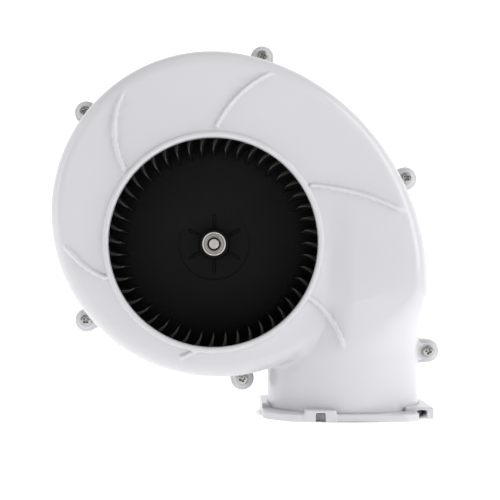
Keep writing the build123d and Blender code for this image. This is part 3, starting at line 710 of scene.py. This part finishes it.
def screw_mesh():
    """Pan head screw with a cross recess, its head towards -Y and its seat at the origin."""
    step = 0.16
    reach = screw_head_radius + 0.5
    low, high = (-reach, -screw_head_height - 0.5, -reach), (reach, screw_length + 0.5, reach)
    x, y, z = make_grid(low, high, step)
    radial = np.hypot(x, z)
    crown = -screw_head_height + screw_crown * radial ** 2 / screw_head_radius
    head = rounded_box([radial - screw_head_radius, beyond(y, -screw_head_height, 0.0)], 0.9)
    head = smooth_max(head, crown - y, 0.5)
    depth = screw_head_height + y
    half_width = cross_half_width - cross_width_taper * depth
    half_length = cross_half_length - cross_length_taper * depth
    arm = np.maximum(np.abs(x) - half_width, np.abs(z) - half_length)
    other = np.maximum(np.abs(z) - half_width, np.abs(x) - half_length)
    cross = np.maximum(np.minimum(arm, other), depth - cross_depth)
    turns = y / thread_pitch - np.arctan2(z, x) / (2 * math.pi)
    thread = thread_depth * np.abs(2.0 * np.mod(turns, 1.0) - 1.0)
    shank = smooth_max(radial - screw_radius + thread, y - screw_length, 0.6)
    body = np.minimum(smooth_max(head, -cross, 0.25), np.maximum(shank, -1.0 - y))
    return field_object("housing_screw_1", body, low, step, finishes["screw_steel"], 9000)


first_screw = screw_mesh()
for number, (place, turn) in enumerate(zip(screw_places, screw_turns), start=1):
    screw = first_screw
    if number > 1:
        screw = bpy.data.objects.new(f"housing_screw_{number}", first_screw.data)
        bpy.context.scene.collection.objects.link(screw)
    seat = Vector((place[0], -front_ear[1], place[1])) * 0.001
    screw.matrix_world = Matrix.Translation(seat) @ Matrix.Rotation(math.radians(turn), 4, "Y")
    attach(screw, "housing")
    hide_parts("housing_screws")


# ---------------------------------------------------------------- wheel

def back_plate_piece():
    """The wheel's back plate, sunk a little about the bush, with the boss and its ribs."""
    step = 0.5
    reach = plate_radius + 1.0
    low = (wheel_x - reach, boss_front_y - 1.0, wheel_z - reach)
    high = (wheel_x + reach, plate_y[1] + 1.0, wheel_z + reach)
    x, y, z = make_grid(low, high, step)
    radial = np.hypot(x - wheel_x, z - wheel_z)

    def ring_field(inner, outer, front_y, back_y, rounding):
        """Ring about the wheel's axis, with rounded edges."""
        return rounded_box([beyond(radial, inner, outer), beyond(y, front_y, back_y)], rounding)

    plate = ring_field(recess_radius, plate_radius, *plate_y, 0.4)
    floor = ring_field(0.0, recess_radius + 0.5, recess_floor_y, plate_y[1], 0.4)
    boss = ring_field(0.0, boss_radius, boss_front_y, plate_y[1], 0.5)
    body = smooth_min(smooth_min(plate, floor, 0.3), boss, boss_foot)
    for i in range(hub_rib_count):
        angle = math.radians(hub_rib_first_angle + 360 * i / hub_rib_count)
        along = (x - wheel_x) * math.cos(angle) + (z - wheel_z) * math.sin(angle)
        across = (z - wheel_z) * math.cos(angle) - (x - wheel_x) * math.sin(angle)
        rib = rounded_box([beyond(along, 0.0, hub_rib_end), np.abs(across) - hub_rib_half_width,
                           beyond(y, hub_rib_y, plate_y[1])], 0.4)
        body = smooth_min(body, rib, 0.6)
    body = smooth_max(body, bush_radius - radial, 0.2)
    piece = field_object("back_plate", body, low, step, moulded_wheel_finish, 90000)
    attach(piece, "rotor")
    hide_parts("wheel_back_plate")


back_plate_piece()


def round_end(a, b, half, first_angle, points):
    """Points of a half circle about (a, b), turning clockwise from the first angle."""
    angles = [first_angle - math.pi * i / (points + 1) for i in range(1, points + 1)]
    return [(a + half * math.cos(t), b + half * math.sin(t)) for t in angles]


def blade_section(points_along=11, points_round=4):
    """Closed outline of one blade: an arc that starts along its radius, thin at its inner end."""
    thin, thick = blade_half_thickness
    centre_line = []
    for i in range(points_along):
        share = i / (points_along - 1)
        angle = math.radians(blade_arc_turn) * share
        half = thin + (thick - thin) * min(1.0, 2 * share)
        centre_line.append((blade_inner_radius + blade_arc_radius * math.sin(angle),
                            -blade_arc_radius * (1 - math.cos(angle)), -angle, half))
    upper = [(a - half * math.sin(h), b + half * math.cos(h)) for a, b, h, half in centre_line]
    lower = [(a + half * math.sin(h), b - half * math.cos(h)) for a, b, h, half in centre_line]
    a, b, heading, half = centre_line[-1]
    tip = round_end(a, b, half, heading + math.pi / 2, points_round)
    a, b, heading, half = centre_line[0]
    root = round_end(a, b, half, heading - math.pi / 2, points_round)
    return upper + tip + lower[::-1] + root


def blades_piece(levels=8):
    """All the blades as one mesh of closed strips along Y."""
    section = blade_section()
    size = len(section)
    vertices, faces = [], []
    for blade in range(blade_count):
        turn = 2 * math.pi * blade / blade_count
        base = len(vertices)
        for y in np.linspace(*blade_y, levels):
            for a, b in section:
                vertices.append((wheel_x + a * math.cos(turn) - b * math.sin(turn), y,
                                 wheel_z + a * math.sin(turn) + b * math.cos(turn)))
        for low in range(base, base + (levels - 1) * size, size):
            for i in range(size):
                j = (i + 1) % size
                faces.append((low + i, low + j, low + size + j, low + size + i))
        faces.append(tuple(range(base, base + size))[::-1])
        faces.append(tuple(range(base + (levels - 1) * size, base + levels * size)))
    mesh = bpy.data.meshes.new("blades")
    mesh.from_pydata([tuple(0.001 * c for c in v) for v in vertices], [], faces)
    mesh.materials.append(blade_lighter_finish)
    mesh.shade_smooth()
    piece = bpy.data.objects.new("blades", mesh)
    bpy.context.scene.collection.objects.link(piece)
    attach(piece, "rotor")
    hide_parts("wheel_blades")


blades_piece()


# ---------------------------------------------------------------- stage, light and camera

def sweep_floor():
    """Pale floor that curves up into a backdrop behind the object. It glows a little, except under the
    flange, where the dark patch is painted shade seen through the flange's notches and hollow. Its
    sizes are in metres."""
    bend_start_y, bend_radius, bend_steps = 1.0, 1.5, 16
    profile = [(-12.0, 0.0), (bend_start_y, 0.0)]
    for i in range(1, bend_steps + 1):
        angle = math.pi / 2 * i / bend_steps
        profile.append((bend_start_y + bend_radius * math.sin(angle),
                        bend_radius * (1 - math.cos(angle))))
    profile.append((bend_start_y + bend_radius, 5.0))
    vertices = [(x * 1000, y * 1000, z * 1000) for x in (-12.0, 12.0) for y, z in profile]
    size = len(profile)
    faces = [(i, i + size, i + size + 1, i + 1) for i in range(size - 1)]
    paper = mottled_material("paper", (0.92, 0.92, 0.92), 0.004, 0.9, patch=1.5, grain=200.0)
    tree = paper.node_tree
    shader = tree.nodes["Principled BSDF"]
    shader.inputs["Emission Color"].default_value = (1, 1, 1, 1)
    place = tree.nodes.new("ShaderNodeTexCoord").outputs["Object"]
    from_flange = vector_step(tree, "LENGTH", place).outputs["Value"]
    # No glow within the flange's reach: painted shade under the flange.
    glow = remap(tree, from_flange, 0.054, 0.062, 0.0, 0.6)
    tree.links.new(glow, shader.inputs["Emission Strength"])
    floor = new_object("floor", vertices, faces, paper)


def area_light(name, place, aim, size, power):
    """Soft box at a place, aimed at a point, both in metres."""
    light = bpy.data.lights.new(name, "AREA")
    light.shape = "RECTANGLE"
    light.size, light.size_y = size
    light.energy = power
    holder = bpy.data.objects.new(name, light)
    bpy.context.scene.collection.objects.link(holder)
    holder.location = place
    direction = Vector(aim) - Vector(place)
    holder.rotation_euler = direction.to_track_quat("-Z", "Y").to_euler()


sweep_floor()
middle = (-0.06, 0.0, 0.12)
area_light("right_box", (1.05, -0.60, 0.75), middle, (0.7, 1.2), 8.6)
area_light("left_box", (-1.3, -0.30, 0.5), middle, (0.4, 1.2), 4.0)
area_light("top_box", (0.0, -0.3, 1.5), middle, (1.4, 1.0), 2.4)
area_light("front_box", (0.45, -1.35, 0.75), middle, (0.3, 0.3), 0.6)

world = bpy.data.worlds.new("studio")
bpy.context.scene.world = world
world.use_nodes = True
world.node_tree.nodes["Background"].inputs["Color"].default_value = (1, 1, 1, 1)
world.node_tree.nodes["Background"].inputs["Strength"].default_value = 0.37
bpy.context.scene.view_settings.view_transform = "Standard"

camera_data = bpy.data.cameras.new("camera")
camera_data.lens = 88.9
camera_data.sensor_width = 36.0
camera_data.shift_x = 0.05
camera_data.shift_y = 0.03
camera = bpy.data.objects.new("camera", camera_data)
camera.location = (-0.080, -0.840, 0.100)
camera.rotation_euler = (math.pi / 2, 0.0, 0.0)
bpy.context.scene.collection.objects.link(camera)
bpy.context.scene.camera = camera

bpy.context.view_layer.update()
